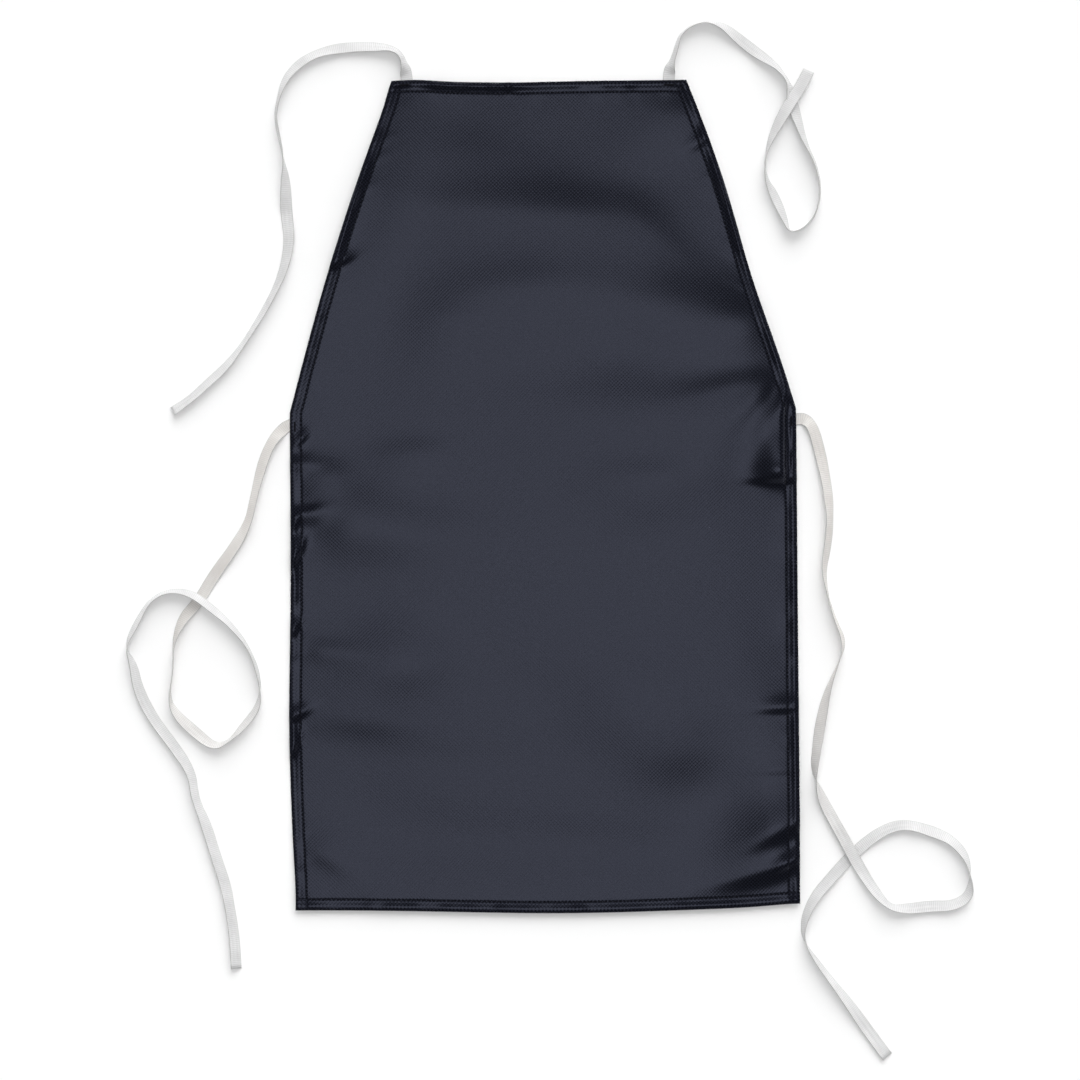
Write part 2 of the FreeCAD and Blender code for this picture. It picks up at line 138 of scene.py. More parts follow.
RIGHT_WAIST = [
    (0.196, 0.057, 0, 0.0004), (0.204, 0.059, 0, 0.0003), (0.209, 0.0585, 0, 0), (0.2135, 0.055, -25, 0),
    (0.217, 0.048, -18, 0),
    (0.220, 0.037, -14, 0), (0.224, 0.019, -25, 0), (0.227, 0.002, -36, 0), (0.229, -0.020, -48, 0),
    (0.227, -0.042, -52, 0), (0.223, -0.062, -66, 0), (0.226, -0.082, -80, 0), (0.232, -0.102, -80, 0),
    (0.240, -0.121, -62, 0), (0.234, -0.138, -90, 0), (0.226, -0.157, -115, 0), (0.221, -0.178, -150, 0),
    (0.217, -0.202, -140, 0), (0.214, -0.224, -120, 0), (0.219, -0.242, -40, 0), (0.227, -0.258, -18, 0),
    (0.238, -0.278, -8, 0.0017), (0.249, -0.299, -10, 0.0017), (0.262, -0.320, -34, 0),
    (0.274, -0.333, -72, 0), (0.289, -0.334, -30, 0), (0.306, -0.332, -20, 0), (0.324, -0.332, -26, 0),
    (0.337, -0.325, -40, 0), (0.339, -0.311, -84, 0), (0.336, -0.293, -120, 0), (0.324, -0.279, -148, 0),
    (0.308, -0.272, -152, 0), (0.288, -0.266, -150, 0), (0.273, -0.269, -146, 0),
    (0.257, -0.279, -165, 0), (0.242, -0.293, -178, 0), (0.227, -0.309, -162, 0),
    (0.213, -0.325, -142, 0), (0.205, -0.342, -125, 0), (0.204, -0.358, -100, 0), (0.215, -0.375, -62, 0),
    (0.226, -0.390, -60, 0), (0.242, -0.411, -30, 0), (0.257, -0.433, -15, 0), (0.271, -0.452, -12, 0),
]
TIE_ROUTES = {
    "left_neck_tie": LEFT_NECK,
    "right_neck_tie": RIGHT_NECK,
    "left_waist_tie": LEFT_WAIST,
    "right_waist_tie": RIGHT_WAIST,
}


# ---------------------------------------------------------------- small tools


def smoothstep(low, high, x):
    """A smooth rise from 0 at low to 1 at high, or a fall where low is the greater."""
    t = np.clip((x - low) / (high - low), 0, 1)
    return t * t * (3 - 2 * t)


def value_noise(x, y, seed):
    """Smooth noise from -1 to 1, with one random value for each whole x and y."""
    size = 64
    table = np.random.default_rng(seed).uniform(-1, 1, (size, size))
    x0 = np.floor(x).astype(int)
    y0 = np.floor(y).astype(int)
    u = smoothstep(0, 1, x - x0)
    v = smoothstep(0, 1, y - y0)
    low_y, high_y = y0 % size, (y0 + 1) % size
    low_x, high_x = x0 % size, (x0 + 1) % size
    first = table[low_x, low_y] * (1 - v) + table[low_x, high_y] * v
    second = table[high_x, low_y] * (1 - v) + table[high_x, high_y] * v
    return first * (1 - u) + second * u


def new_mesh(name, points, faces, material):
    """A smooth-shaded mesh object that rides on the apron."""
    mesh = bpy.data.meshes.new(name)
    mesh.from_pydata([tuple(p) for p in points], [], faces)
    mesh.materials.append(material)
    mesh.polygons.foreach_set("use_smooth", [True] * len(mesh.polygons))
    mesh.update()
    piece = bpy.data.objects.new(name, mesh)
    bpy.context.scene.collection.objects.link(piece)
    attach(piece, "root")
    return piece


def grid_faces(rows, columns, closed=False):
    """Quads of a grid of points, stored row by row. A closed grid joins its last column to its first."""
    faces = []
    for row in range(rows - 1):
        for column in range(columns if closed else columns - 1):
            following = (column + 1) % columns
            a, b = row * columns + column, row * columns + following
            faces.append((a, b, b + columns, a + columns))
    return faces


# ---------------------------------------------------------------- materials


class Nodes:
    """A material's node tree, with one short call per node."""

    def __init__(self, name):
        self.material = bpy.data.materials.new(name)
        self.material.use_nodes = True
        self.tree = self.material.node_tree
        self.shader = self.tree.nodes["Principled BSDF"]

    def add(self, kind, **settings):
        node = self.tree.nodes.new(kind)
        for key, setting in settings.items():
            setattr(node, key, setting)
        return node

    def put(self, socket, source):
        """Link a source socket to a socket, or set its value."""
        if isinstance(source, bpy.types.NodeSocket):
            self.tree.links.new(source, socket)
        else:
            socket.default_value = source

    def math(self, operation, first, second=0.0, third=0.0):
        node = self.add("ShaderNodeMath", operation=operation)
        for socket, source in zip(node.inputs, (first, second, third)):
            self.put(socket, source)
        return node.outputs[0]

    def noise(self, vector, scale, detail=2.0, roughness=0.5):
        node = self.add("ShaderNodeTexNoise")
        self.put(node.inputs["Vector"], vector)
        node.inputs["Scale"].default_value = scale
        node.inputs["Detail"].default_value = detail
        node.inputs["Roughness"].default_value = roughness
        return node.outputs["Fac"]

    def mix(self, factor, first, second):
        node = self.add("ShaderNodeMix", data_type="RGBA")
        self.put(node.inputs["Factor"], factor)
        self.put(node.inputs["A"], first)
        self.put(node.inputs["B"], second)
        return node.outputs["Result"]

    def ramp(self, source, low, high, to_low=0.0, to_high=1.0):
        node = self.add("ShaderNodeMapRange")
        for name, setting in (
            ("Value", source), ("From Min", low), ("From Max", high), ("To Min", to_low), ("To Max", to_high),
        ):
            self.put(node.inputs[name], setting)
        return node.outputs["Result"]

    def bump(self, height, distance, strength=1.0, normal=None):
        node = self.add("ShaderNodeBump")
        self.put(node.inputs["Height"], height)
        node.inputs["Distance"].default_value = distance
        node.inputs["Strength"].default_value = strength
        if normal is not None:
            self.put(node.inputs["Normal"], normal)
        return node.outputs["Normal"]

    def place(self):
        """The surface's own place, in metres: its x, y and z, and all three as a vector."""
        vector = self.add("ShaderNodeTexCoord").outputs["Object"]
        split = self.add("ShaderNodeSeparateXYZ")
        self.put(split.inputs[0], vector)
        return split.outputs[0], split.outputs[1], split.outputs[2], vector

    def wave(self, coordinate, period, phase=0.0):
        turns = self.math("MULTIPLY_ADD", coordinate, 2 * math.pi / period, phase)
        return self.math("SINE", turns)


def coated_cloth():
    """Dark cloth with a thin coating that is pressed with a pattern of fine raised squares."""
    n = Nodes("coated_cloth")
    x, y, _, place = n.place()
    pitch = 1.45 * MM
    weave = n.math("MULTIPLY", n.wave(x, 2 * pitch), n.wave(y, 2 * pitch))
    raised = n.ramp(weave, -0.6, 0.6)
    patches = n.noise(place, 9.0, 3.0)
    mottle = n.noise(place, 900.0, 2.0)
    dark = (0.0012, 0.0013, 0.0024, 1)
    light = (0.0100, 0.0110, 0.0175, 1)
    # Painted shade: the grooves between the raised squares get a far darker base colour than the squares, on
    # top of the cloth's own random patches of tone.
    tone = n.math("MULTIPLY_ADD", patches, 0.15, n.math("MULTIPLY", raised, 0.85))
    n.put(n.shader.inputs["Base Color"], n.mix(tone, dark, light))
    n.put(n.shader.inputs["Roughness"], n.ramp(mottle, 0.3, 0.7, 0.23, 0.29))
    fine = n.bump(mottle, 0.02 * MM, 0.4)
    n.put(n.shader.inputs["Normal"], n.bump(raised, 0.045 * MM, 1.0, fine))
    n.put(n.shader.inputs["Specular IOR Level"], n.ramp(raised, 0, 1, 0.455, 0.345))
    n.shader.inputs["Specular Tint"].default_value = (0.69, 0.74, 1.0, 1)
    return n.material


def dark_thread():
    """Polyester sewing thread, with its twist as fine slanting lines."""
    n = Nodes("dark_thread")
    x, y, _, place = n.place()
    twist = n.wave(n.math("ADD", x, y), 0.5 * MM)
    colour = n.mix(n.ramp(twist, -1, 1), (0.003, 0.003, 0.005, 1), (0.008, 0.008, 0.012, 1))
    n.put(n.shader.inputs["Base Color"], colour)
    n.put(n.shader.inputs["Normal"], n.bump(twist, 0.03 * MM))
    n.put(n.shader.inputs["Roughness"], n.ramp(n.noise(place, 600.0), 0.3, 0.7, 0.45, 0.6))
    n.shader.inputs["Specular IOR Level"].default_value = 0.15
    return n.material


def white_tape():
    """Narrow woven tape, yellowed at its start, with painted shade in the hollows between its ribs and along
    its edges. Its UV map has metres along the tape and across it.
    """
    n = Nodes("white_tape")
    _, _, _, place = n.place()
    split = n.add("ShaderNodeSeparateXYZ")
    n.put(split.inputs[0], n.add("ShaderNodeUVMap", uv_map="along_and_across").outputs[0])
    along, across = split.outputs[0], split.outputs[1]
    rib = n.wave(along, 1.5 * MM)
    yarn = n.wave(across, 0.55 * MM)
    height = n.math("MULTIPLY_ADD", rib, 0.7, n.math("MULTIPLY", yarn, 0.3))
    stain = n.ramp(n.noise(place, 45.0, 4.0, 0.65), 0.3, 0.7)
    fibre = n.noise(place, 1500.0, 2.0)
    aged = n.ramp(along, 0.2, 0.4, 1.0, 0.0)
    white = n.mix(stain, (0.77, 0.77, 0.775, 1), (0.63, 0.63, 0.635, 1))
    cream = n.mix(stain, (0.76, 0.74, 0.715, 1), (0.64, 0.61, 0.585, 1))
    clean = n.mix(aged, white, cream)
    # Painted shade: the base colour turns towards grey in the hollows between the ribs, and in a thin band
    # along each edge where the rounded selvedges turn down.
    hollow_shade = n.ramp(height, -1, 0.2, 1.0, 0.0)
    selvedge = n.ramp(n.math("ABSOLUTE", across), TAPE_HALF_WIDTH - 0.7 * MM, TAPE_HALF_WIDTH - 0.3 * MM)
    dark = n.math("MAXIMUM", n.math("MULTIPLY", hollow_shade, 0.7), selvedge)
    n.put(n.shader.inputs["Base Color"], n.mix(dark, clean, (0.52, 0.515, 0.51, 1)))
    n.put(n.shader.inputs["Roughness"], n.ramp(fibre, 0.3, 0.7, 0.7, 0.9))
    fuzz = n.bump(fibre, 0.03 * MM, 0.6)
    n.put(n.shader.inputs["Normal"], n.bump(height, 0.09 * MM, 1.0, fuzz))
    n.shader.inputs["Sheen Weight"].default_value = 0.15
    return n.material


CLOTH_MATERIAL = coated_cloth()
THREAD_MATERIAL = dark_thread()
TAPE_MATERIAL = white_tape()


# ---------------------------------------------------------------- camera


def make_camera():
    """Straight above, through a long lens, and turned a little, as the apron lies a little askew."""
    view_width = 864 * MM
    data = bpy.data.cameras.new("camera")
    data.lens = 150
    data.sensor_width = 36
    camera = bpy.data.objects.new("camera", data)
    distance = view_width * data.lens / data.sensor_width
    camera.location = (-3.2 * MM, -36.4 * MM, distance)
    camera.rotation_euler = (0, 0, math.radians(-0.5))
    bpy.context.scene.collection.objects.link(camera)
    bpy.context.scene.camera = camera


make_camera()


# ---------------------------------------------------------------- ties


def spline_path(points):
    """Points along the smooth curve that has these points as its control points."""
    curve = bpy.data.curves.new("route", "CURVE")
    curve.dimensions = "3D"
    curve.resolution_u = 10
    spline = curve.splines.new("NURBS")
    spline.points.add(len(points) - 1)
    for control, point in zip(spline.points, points):
        control.co = (*point, 1)
    spline.order_u = 3
    spline.use_endpoint_u = True
    holder = bpy.data.objects.new("route", curve)
    mesh = bpy.data.meshes.new_from_object(holder)
    path = np.array([vertex.co for vertex in mesh.vertices])
    bpy.data.meshes.remove(mesh)
    bpy.data.curves.remove(curve)
    return path


def tape_ring():
    """The tape's cross-section, with thick rounded selvedges, as shares of its half width and thickness."""
    selvedge = [(0.985, 0.55), (0.955, 1.1), (0.9, 1.15), (0.82, 0.95)]
    top = selvedge + [(a, 0.9) for a in (0.6, 0.4, 0.2, 0)]
    top += [(-a, b) for a, b in reversed(top[:-1])]
    return top + [(a, -b) for a, b in reversed(top)]


def make_tie(name, route, seed):
    """A tape that follows its route and turns about its own middle line as it leans one way or the other."""
    flat_path = spline_path([(x, y, lift) for x, y, _, lift in route])
    lean = spline_path([(x, y, math.radians(lean)) for x, y, lean, _ in route])[:, 2]
    steps = np.linalg.norm(np.diff(flat_path, axis=0), axis=1)
    travelled = np.concatenate([[0], np.cumsum(steps)])
    sway = value_noise(travelled / TAPE_SWAY_LENGTH, travelled * 0, seed)
    loose = smoothstep(12 * MM, 40 * MM, travelled)
    lean = lean + TAPE_SWAY * sway * loose
    path = flat_path.copy()
    path[:, 2] += TAPE_HALF_WIDTH * np.abs(np.sin(lean)) + TAPE_HALF_THICKNESS
    along = np.gradient(path, axis=0)
    along /= np.linalg.norm(along, axis=1)[:, None]
    across = np.stack([-along[:, 1], along[:, 0], np.zeros(len(path))], axis=1)
    across /= np.linalg.norm(across, axis=1)[:, None]
    up = np.cross(along, across)
    wide = across * np.cos(lean)[:, None] + up * np.sin(lean)[:, None]
    thick = up * np.cos(lean)[:, None] - across * np.sin(lean)[:, None]
    cupped = TAPE_CUP * loose * value_noise(travelled / TAPE_CUP_LENGTH, travelled * 0 + 5, seed)
    creased = TAPE_CREASE * loose * value_noise(travelled / TAPE_CREASE_LENGTH, travelled * 0 + 9, seed)
    ring = tape_ring()
    rings = []
    for a, b in ring:
        bend = cupped * (1 - a * a) + creased * math.sin(2.6 * math.pi * a) * (1 - a * a)
        rings.append(path + wide * a * TAPE_HALF_WIDTH + thick * (b * TAPE_HALF_THICKNESS + bend)[:, None])
    points = np.stack(rings, axis=1).reshape(-1, 3)
    points[:, 2] = np.maximum(points[:, 2], 0)
    faces = grid_faces(len(path), len(ring), closed=True)
    faces.append(tuple(range(len(ring)))[::-1])
    faces.append(tuple(range(len(points) - len(ring), len(points))))
    tie = new_mesh(name + "_tape", points, faces, TAPE_MATERIAL)
    # Only the waist ties are yellowed at their start, so the neck ties count their length from further on.
    first_length = 1.0 if "neck" in name else 0.0
    uv = tie.data.uv_layers.new(name="along_and_across")
    for loop in tie.data.loops:
        row, column = divmod(loop.vertex_index, len(ring))
        uv.data[loop.index].uv = (travelled[row] + first_length, ring[column][0] * TAPE_HALF_WIDTH)
    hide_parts(name)


for tie_seed, (tie_name, tie_route) in enumerate(TIE_ROUTES.items(), start=50):
    make_tie(tie_name, tie_route, tie_seed)


# ---------------------------------------------------------------- cloth


def half_width(y):
    """From the apron's middle line to its side edge."""
    bib = BIB_CENTRE_X + np.sqrt(BIB_RADIUS**2 - (y - BIB_CENTRE_Y) ** 2)
    return np.where(y <= WAIST, HALF_WIDTH, bib)


def side_cosine(y):
    """How much of a step to the side is a step away from the side edge."""
    return np.where(y <= WAIST, 1.0, (half_width(y) - BIB_CENTRE_X) / BIB_RADIUS)


def edge_distances(x, y):
    """How far a point is in from the side edge, the bottom and the top."""
    return (half_width(y) - np.abs(x)) * side_cosine(y), y - BOTTOM, TOP - y


# Each line: place x and y, turn in degrees, reach back, forward, below and above along and across its own
# axis, and height, all in mm. A fold is steep on its short side and dies away gently on its long side.
SOFT_FOLDS = [
    (15, 221, -4, 130, 70, 60, 27, 3.2),
    (92, 203, -38, 36, 42, 40, 20, 1.3),
    (-35, 266, -2, 70, 70, 30, 26, 1.0),
    (-12, 160, 2, 80, 62, 50, 28, 3.3),
    (-78, 138, 4, 32, 34, 40, 22, 1.2),
    (88, 148, -4, 45, 40, 40, 26, 1.0),
    (140, 136, -5, 70, 60, 44, 36, 4.0),
    (165, 134, -8, 26, 20, 26, 20, 1.6),
    (124, 54, 3, 130, 58, 95, 44, 4.6),
    (166, 85, 12, 50, 24, 62, 15, 2.6),
    (92, 12, 2, 50, 44, 30, 14, 0.8),
    (-104, 31, 4, 34, 30, 26, 15, 1.1),
    (-176, 15, 0, 22, 20, 30, 14, 1.6),
    (-148, -24, 84, 30, 32, 66, 30, 3.4),
    (-176, -124, 84, 10, 10, 30, 14, 1.0),
    (-115, -134, 4, 46, 42, 26, 36, 2.8),
    (-148, -176, -8, 50, 52, 18, 40, 1.6),
    (-75, -196, -2, 50, 60, 14, 45, 0.4),
    (78, -168, 3, 62, 80, 46, 85, 3.2),
    (106, -205, 6, 40, 36, 26, 34, 1.5),
    (200, -260, 20, 50, 40, 16, 130, 4.4),
    (182, -299, 12, 46, 26, 10, 50, 5.0),
    (45, -252, -3, 80, 80, 22, 50, 1.1),
    (-176, -286, -30, 24, 26, 11, 25, 1.4),
    (113, 300, -8, 38, 28, 32, 21, 1.8),
    (190, 20, 90, 12, 38, 4, 18, 6.2),
    (172, 78, 48, 26, 20, 7, 10, 1.0),
    (184, 62, 52, 22, 18, 5, 9, 0.8),
    (-205, 200, 70, 40, 40, 14, 20, 0.8),
]
# Short sharp folds that cross a hem, in the same terms.
SHARP_FOLDS = [
    (188, 11, 2, 20, 18, 2.2, 12, 2.4),
    (-198, 25, 4, 10, 16, 4.0, 8, 1.2),
    (-190, -14, 14, 12, 16, 9, 5.0, 2.0),
    (-198, -20, 62, 11, 10, 2.6, 8, 1.6),
    (-198, -46, 66, 16, 15, 3.2, 8, 2.7),
    (-199, -106, 60, 9, 9, 2.4, 7, 1.8),
    (-197, -175, 28, 9, 12, 2.8, 7, 2.2),
    (-199, -200, 66, 11, 11, 2.6, 8, 2.2),
    (192, -172, 3, 20, 14, 3.0, 9, 2.0),
    (190, -222, 3, 20, 16, 3.0, 8, 0.7),
    (198, -266, 24, 32, 16, 6.0, 22, 2.2),
    (194, -297, 24, 12, 14, 3.0, 8, 2.6),
    (-163, 187, 24, 9, 12, 2.6, 6, 2.6),
    (-150, 236, 68, 22, 20, 3.0, 8, 0.6),
    (-193, 46, 50, 7, 8, 2.2, 5, 1.6),
    (193, 72, 80, 18, 16, 2.6, 6, 2.2),
    (129, 281, 30, 12, 10, 3.0, 7, 1.3),
    (-25, 329, 88, 6, 7, 2.0, 3, 1.2),
]
# How far each hem rolls up above its stitches, and where it rolls up further: middle, reach and height in mm.
HEM_ROLLS = {
    "top": (0.5, [(-62, 58, 1.5), (85, 30, 0.6)]),
    "bottom": (0.7, [(150, 60, 0.3)]),
    "left_side": (0.45, [(-60, 25, 0.5), (-190, 25, 0.7)]),
    "right_side": (0.65, [(30, 40, 0.8), (-80, 40, 0.5), (-190, 50, 0.9)]),
    "left_bib": (0.6, [(228, 42, 1.3)]),
    "right_bib": (0.8, [(228, 42, 1.4), (110, 30, 0.6)]),
}
# Where an edge stands clear of the floor: middle and reach along the edge, reach inwards, and height, in mm.
EDGE_LIFTS = {
    "bottom": (20, 400, 45, 3.8),
    "left_bib": (235, 90, 38, 5.5),
}
# How the laid cloth strays sideways from its cut shape: middle along the edge, reach, and distance, in mm.
SIDE_STRAYS = {
    "left_side": [(-185, 85, -2.5), (-322, 40, 1.7)],
    "right_side": [(-325, 60, -0.4)],
    "left_bib": [(330, 16, -1.7), (100, 60, 0.4)],
    "right_bib": [(170, 66, -4.8)],
}
END_STRAYS = {
    "bottom": [(20, 130, -4.2), (205, 35, 2.4)],
    "top": [(-100, 22, 1.8), (-20, 38, -0.8)],
}


def hills(position, peaks):
    """The sum of smooth peaks along a line, each given by its middle, reach and height in mm. In metres."""
    total = 0
    for middle, reach, height in peaks:
        total = total + height * MM * np.exp(-(((position - middle * MM) / (reach * MM)) ** 2))
    return total


def laid(x, y):
    """Where a point of the cut shape comes to lie, as the cloth is a little stretched and skewed."""
    edge = half_width(y)
    blend = smoothstep(WAIST - 12 * MM, WAIST + 12 * MM, y)
    new_x = x + 0
    for side, sign in (("left", -1), ("right", 1)):
        share = np.clip(sign * x / edge, 0, 1) ** 2
        bib_stray = hills(y, SIDE_STRAYS[f"{side}_bib"])
        skirt_stray = hills(y, SIDE_STRAYS[f"{side}_side"])
        new_x = new_x + (bib_stray * blend + skirt_stray * (1 - blend)) * share
    low = smoothstep(BOTTOM + 140 * MM, BOTTOM, y)
    high = smoothstep(TOP - 60 * MM, TOP, y)
    return new_x, y + hills(x, END_STRAYS["bottom"]) * low + hills(x, END_STRAYS["top"]) * high


def fold_height(x, y, folds):
    """The height that a list of folds adds at each point."""
    total = np.zeros_like(x)
    for middle_x, middle_y, turn, back, forward, below, above, height in folds:
        c, s = math.cos(math.radians(turn)), math.sin(math.radians(turn))
        u = (x - middle_x * MM) * c + (y - middle_y * MM) * s
        v = (y - middle_y * MM) * c - (x - middle_x * MM) * s
        u = u / np.where(u < 0, back * MM, forward * MM)
        v = v / np.where(v < 0, below * MM, above * MM)
        total += height * MM * np.exp(-u * u - v * v)
    return total


def hem_roll(x, y):
    """The rounded ridge of each hem, between its fold and its stitches."""
    side, bottom, top = edge_distances(x, y)
    total = np.zeros_like(x)
    blend = smoothstep(WAIST - 10 * MM, WAIST + 10 * MM, y)
    for name, distance, along, share in (
        ("top", top, x, 1), ("bottom", bottom, x, 1),
        ("left_side", side, y, (x < 0) * (1 - blend)), ("right_side", side, y, (x > 0) * (1 - blend)),
        ("left_bib", side, y, (x < 0) * blend), ("right_bib", side, y, (x > 0) * blend),
    ):
        level, peaks = HEM_ROLLS[name]
        uneven = 1 + 0.5 * value_noise(along / (9 * MM), distance / (30 * MM), 8)
        ridge = np.exp(-(((distance - RIDGE_INSET) / RIDGE_REACH) ** 2)) * uneven
        total += (level * MM + hills(along, peaks)) * ridge * share
    return total


def hem_puckers(x, y):
    """Small waves that the stitches gather into the cloth along each edge, and that die away inwards."""
    side, bottom, top = edge_distances(x, y)
    total = np.zeros_like(x)
    for distance, along, seed, height in (
        (np.where(x < 0, side, 1), y, 11, 0.55),
        (np.where(x > 0, side, 1), y, 12, 0.55),
        (bottom, x, 13, 0.25),
        (top, x, 14, 0.35),
    ):
        skew = 0.5 * distance
        wave = value_noise((along + skew) / (17 * MM), np.zeros_like(x), seed)
        wave += 0.6 * value_noise((along - skew) / (8 * MM), np.zeros_like(x) + 7, seed)
        lifted = np.clip(wave + 0.15, 0, None)
        total += height * MM * lifted * np.exp(-((distance / (14 * MM)) ** 2))
    return total


def edge_lift(x, y):
    """The height that the lifted edges add, which dies away inwards."""
    side, bottom, _ = edge_distances(x, y)
    total = np.zeros_like(x)
    for name, distance, along in (("bottom", bottom, x), ("left_bib", np.where(x < 0, side, 1), y)):
        middle, reach, inwards, height = EDGE_LIFTS[name]
        fade = hills(along, [(middle, reach, height)])
        total += fade * np.exp(-((distance / (inwards * MM)) ** 2))
    return total


def cloth_height(x, y):
    """The height of the cloth's front face above the floor, at a point of the cut shape."""
    side, bottom, top = edge_distances(x, y)
    inwards = 1
    for distance in (side, bottom, top):
        inwards = inwards * smoothstep(5 * MM, 70 * MM, distance)
    raised = 1 - inwards
    total = FLAT_HEIGHT + (EDGE_HEIGHT - EDGE_SLACK - FLAT_HEIGHT) * raised + edge_lift(x, y)
    total += UNEVEN_HEIGHT * (1 + value_noise(x / UNEVEN_LENGTH, y / UNEVEN_WIDTH, 3)) * inwards
    total += fold_height(x, y, SOFT_FOLDS) + fold_height(x, y, SHARP_FOLDS)
    total += hem_roll(x, y) + hem_puckers(x, y)
    for distance in (side, bottom, top):
        total -= SEAM_DIP * np.exp(-(((distance - SEAM_INSET) / SEAM_DIP_REACH) ** 2))
    return total


def on_cloth(x, y, above=0.0):
    """The laid place of each point of the cut shape, on the cloth's front face or that far above it."""
    x, y = np.asarray(x, float), np.asarray(y, float)
    new_x, new_y = laid(x, y)
    return np.stack([new_x, new_y, cloth_height(x, y) + above], axis=-1)


# The fold at every edge, and steps in from the edge, close together where the stitches pull the cloth down.
FOLD_RADIUS = 0.62 * MM
FOLD_REACH = 1.3 * MM
FOLD_ANGLES = np.radians([180, 155, 130, 110, 90, 75, 60, 45, 30, 15, 0])
HEM_STEPS = np.array([1.9, 2.6, 3.4, 4.2, 5.0, 5.8, 6.6, 7.4, 8.1, 8.5, 8.8, 9.1, 9.5, 10.4, 12, 14]) * MM
MIDDLE_STEP = 2.6 * MM


def edge_profile():
    """Distance in from the edge and drop below the front face, from under the fold to the end of the hem."""
    under = [(2.6 * MM, -2 * FOLD_RADIUS), (1.9 * MM, -2 * FOLD_RADIUS)]
    fold = [(FOLD_REACH * (1 - math.sin(a)), FOLD_RADIUS * (math.cos(a) - 1)) for a in FOLD_ANGLES]
    return np.array(under + fold + [(step, 0) for step in HEM_STEPS])


def evenly(low, high):
    """Places between two ends, without the ends, about one middle step apart."""
    return np.linspace(low, high, max(2, round((high - low) / MIDDLE_STEP) + 1))[1:-1]


def make_panel():
    """One sheet of cloth over the whole outline, folded round every edge."""
    profile = edge_profile()
    inset, drop = profile[:, 0], profile[:, 1]
    inner = inset[-1]
    skirt_y = evenly(BOTTOM + inner, WAIST)
    bib_y = evenly(WAIST, TOP - inner)
    rows_y = np.concatenate([BOTTOM + inset, skirt_y, [WAIST], bib_y, TOP - inset[::-1]])
    middle = evenly(-HALF_WIDTH + inner, HALF_WIDTH - inner) / (HALF_WIDTH - inner)
    flat = np.zeros(len(rows_y) - 2 * len(drop))
    row_drop = np.concatenate([drop, flat, drop[::-1]])
    column_drop = np.concatenate([drop, np.zeros(len(middle)), drop[::-1]])
    y = rows_y[:, None] + np.zeros(len(column_drop))
    edge = half_width(rows_y)[:, None]
    into = inset / side_cosine(rows_y)[:, None]
    x = np.concatenate([into - edge, middle * (edge - into[:, -1:]), (edge - into)[:, ::-1]], axis=1)
    points = on_cloth(x, y, np.minimum(row_drop[:, None], column_drop)).reshape(-1, 3)
    panel = new_mesh("panel_cloth", points, grid_faces(*x.shape), CLOTH_MATERIAL)
    thickness = panel.modifiers.new("thickness", "SOLIDIFY")
    thickness.thickness = CLOTH
    thickness.offset = -1
    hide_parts("panel")
    return panel


def outline_point(edge, share, inset):
    """A point along one edge of the outline, moved in by inset. The share runs from 0 to 1 along the edge."""
    if edge in ("top", "bottom"):
        y = TOP - inset if edge == "top" else BOTTOM + inset
        reach = half_width(y) - inset / side_cosine(y)
        return (2 * share - 1) * reach, y + 0 * share
    side = -1 if edge.startswith("left") else 1
    low, high = (BOTTOM + inset, WAIST) if edge.endswith("side") else (WAIST, TOP - inset)
    y = low + (high - low) * share
    return side * (half_width(y) - inset / side_cosine(y)), y


EDGES = ("top", "bottom", "left_side", "right_side", "left_bib", "right_bib")


def edge_length(edge):
    if edge == "top":
        return 2 * HALF_TOP
    if edge == "bottom":
        return 2 * HALF_WIDTH
    return WAIST - BOTTOM if edge.endswith("side") else BIB_CHORD


def make_hem(edge):
    """The layer of cloth that is turned to the back, against the underside of the panel."""
    insets = np.array([2.2, 3.5, 5.0, 6.5, 8.0, 8.8, 9.4, HEM_WIDTH / MM]) * MM
    shares = np.linspace(0, 1, round(edge_length(edge) / MIDDLE_STEP))
    rows = []
    for inset in insets:
        x, y = outline_point(edge, shares, inset)
        gap = np.interp(inset, [0, SEAM_INSET], [2 * FOLD_RADIUS - CLOTH, CLOTH])
        frayed = 0.25 * MM * value_noise(shares * 150, shares * 0, 21) if inset == insets[-1] else 0
        rows.append(on_cloth(x + frayed, y + frayed, -gap))
    points = np.concatenate(rows)
    faces = grid_faces(len(insets), len(shares))
    hem = new_mesh(f"{edge}_hem_layer", points, faces, CLOTH_MATERIAL)
    thickness = hem.modifiers.new("thickness", "SOLIDIFY")
    thickness.thickness = CLOTH
    thickness.offset = -1 if edge in ("bottom", "right_side", "right_bib") else 1
    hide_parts(f"{edge}_hem")
    return hem


# ---------------------------------------------------------------- stitches

STITCH_PITCH = 4.2 * MM
STITCH_GAP = 0.9 * MM
THREAD_RADIUS = 0.26 * MM
THREAD_SIDES = 6
TACK_STITCHES = 15
# The rings of one stitch: place along it, and size and depth as shares of the thread's radius.
THREAD_RINGS = [
    (0, 0.45, 0.9), (0.07, 0.85, 0.35), (0.2, 1, 0), (0.5, 1, -0.1),
    (0.8, 1, 0), (0.93, 0.85, 0.35), (1, 0.45, 0.9),
]


def capsule(start, end):
    """The points and faces of a short length of thread, whose two ends dive into the cloth."""
    start, end = np.array(start), np.array(end)
    along = (end - start) / np.linalg.norm(end - start)
    side = np.array([-along[1], along[0], 0])
    side /= np.linalg.norm(side)
    up = np.cross(along, side)
    points = []
    for share, size, sink in THREAD_RINGS:
        middle = start + (end - start) * share - up * THREAD_RADIUS * sink
        for turn in range(THREAD_SIDES):
            angle = 2 * math.pi * turn / THREAD_SIDES
            points.append(middle + (side * math.cos(angle) + up * math.sin(angle)) * THREAD_RADIUS * size)
    faces = grid_faces(len(THREAD_RINGS), THREAD_SIDES, closed=True)
    faces += [tuple(range(THREAD_SIDES))[::-1], tuple(range(len(points) - THREAD_SIDES, len(points)))]
    return points, faces


